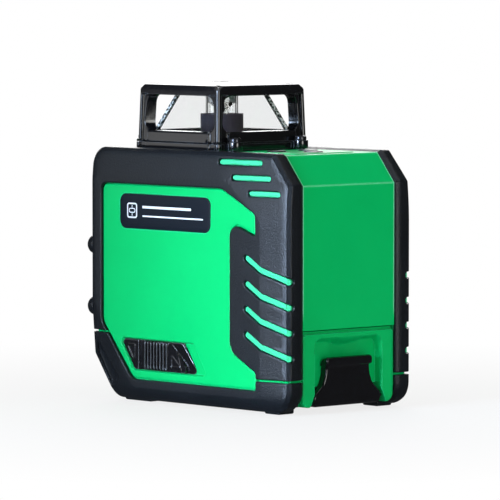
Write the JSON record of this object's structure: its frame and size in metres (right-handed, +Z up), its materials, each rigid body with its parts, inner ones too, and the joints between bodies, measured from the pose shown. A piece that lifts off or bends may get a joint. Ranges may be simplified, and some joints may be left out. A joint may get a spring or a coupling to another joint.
{
  "type": "self-levelling line laser",
  "caption": "Compact self-levelling line laser: rubber-clad green body, square glass lantern for the all-round line, battery door, sliding pendulum lock, tripod socket.",
  "frame": {"origin": "centre of the base, at the height the feet stand on", "axes": "+Z up; -Y to the front window, where the vertical line leaves; +Y to the battery door; +X to the side with the pendulum lock"},
  "size_m": [0.07, 0.1184, 0.127],
  "materials": {
    "green_plastic": "satin green ABS, fine moulded grain",
    "rubber": "matt charcoal moulded elastomer",
    "black_plastic": "polished black plastic",
    "dark_plastic": "matt dark grey plastic",
    "glass": "clear flat glass with ground edges",
    "steel": "plated steel",
    "brass": "turned brass",
    "zinc": "die-cast, as cast",
    "magnet": "dull sintered magnet",
    "copper": "plain copper disc",
    "mirror": "polished cone",
    "circuit_board": "solder mask green",
    "cell_sleeve": "plain printed-free sleeve",
    "light_pipe": "clear moulding"
  },
  "bodies": {
    "housing": {"middle_casing": "green_plastic", "base_plate": "dark_plastic", "tripod_insert": "brass", "base_screw_1": "steel", "base_screw_2": "steel", "base_screw_3": "steel", "base_screw_4": "steel", "front_bezel": "black_plastic", "front_window": "glass", "side_cover_right": "green_plastic", "upper_jacket_right": "rubber", "lower_jacket_right": "rubber", "side_cover_left": "green_plastic", "upper_jacket_left": "rubber", "lower_jacket_left": "rubber", "label_plate": "dark_plastic", "lantern_frame": "black_plastic", "lantern_seal": "rubber", "lantern_screw_1": "steel", "lantern_screw_2": "steel", "lantern_screw_3": "steel", "lantern_screw_4": "steel", "lantern_glass_right": "glass", "lantern_glass_rear": "glass", "lantern_glass_left": "glass", "lantern_glass_front": "glass", "lantern_cap": "black_plastic", "keypad_plate": "dark_plastic", "status_light": "light_pipe", "key_board": "circuit_board", "driver_board": "circuit_board", "battery_bay": "dark_plastic", "battery_cell_1": "cell_sleeve", "battery_cell_2": "cell_sleeve", "battery_cell_3": "cell_sleeve", "inner_contact": "steel", "door_hinge_pin": "steel", "gimbal_bracket": "zinc", "magnet_yoke": "steel", "ring_magnet": "magnet"},
    "battery_door": {"battery_door": "green_plastic", "door_contact": "steel"},
    "battery_latch": {"battery_latch": "black_plastic"},
    "gimbal_ring": {"gimbal_ring": "zinc"},
    "pendulum": {"pendulum_body": "zinc", "horizontal_barrel": "black_plastic", "emitter_tube": "glass", "cone_mirror": "mirror", "vertical_barrel": "brass", "line_lens": "glass", "damper_plate": "copper", "balance_screw_side": "brass", "balance_screw_rear": "brass"},
    "lock_slider": {"lock_slider": "black_plastic", "lock_cam": "dark_plastic"},
    "lock_pad": {"lock_pad": "rubber"},
    "button_horizontal": {"button_horizontal": "rubber"},
    "button_vertical": {"button_vertical": "rubber"},
    "button_pulse": {"button_pulse": "rubber"}
  },
  "joints": [
    {"name": "gimbal_roll", "type": "hinge", "parent": "housing", "child": "gimbal_ring", "pos_m": [0, -0.0152, 0.074], "axis": [1, 0, 0], "range_deg": [-3.5, 3.5]},
    {"name": "gimbal_pitch", "type": "hinge", "parent": "gimbal_ring", "child": "pendulum", "pos_m": [0, -0.0152, 0.074], "axis": [0, 1, 0], "range_deg": [-3.5, 3.5]},
    {"name": "lock_slide", "type": "slide", "parent": "housing", "child": "lock_slider", "axis": [0, 1, 0], "range_m": [0, 0.006]},
    {"name": "lock_pad_lift", "type": "slide", "parent": "housing", "child": "lock_pad", "axis": [0, 0, 1], "range_m": [0, 0.00195]},
    {"name": "door_hinge", "type": "hinge", "parent": "housing", "child": "battery_door", "pos_m": [0, 0.0562, 0.0303], "axis": [1, 0, 0], "range_deg": [0, 95]},
    {"name": "latch_hinge", "type": "hinge", "parent": "battery_door", "child": "battery_latch", "pos_m": [0, 0.0559, 0.0054], "axis": [-1, 0, 0], "range_deg": [0, 70]},
    {"name": "key_horizontal", "type": "slide", "parent": "housing", "child": "button_horizontal", "axis": [0, 0, -1], "range_m": [0, 0.0008], "stiffness_N_per_m": 800},
    {"name": "key_vertical", "type": "slide", "parent": "housing", "child": "button_vertical", "axis": [0, 0, -1], "range_m": [0, 0.0008], "stiffness_N_per_m": 800},
    {"name": "key_pulse", "type": "slide", "parent": "housing", "child": "button_pulse", "axis": [0, 0, -1], "range_m": [0, 0.0008], "stiffness_N_per_m": 800}
  ],
  "couplings": [
    {"joint": "lock_pad_lift", "follows": "lock_slide", "ratio": 0.31667}
  ]
}
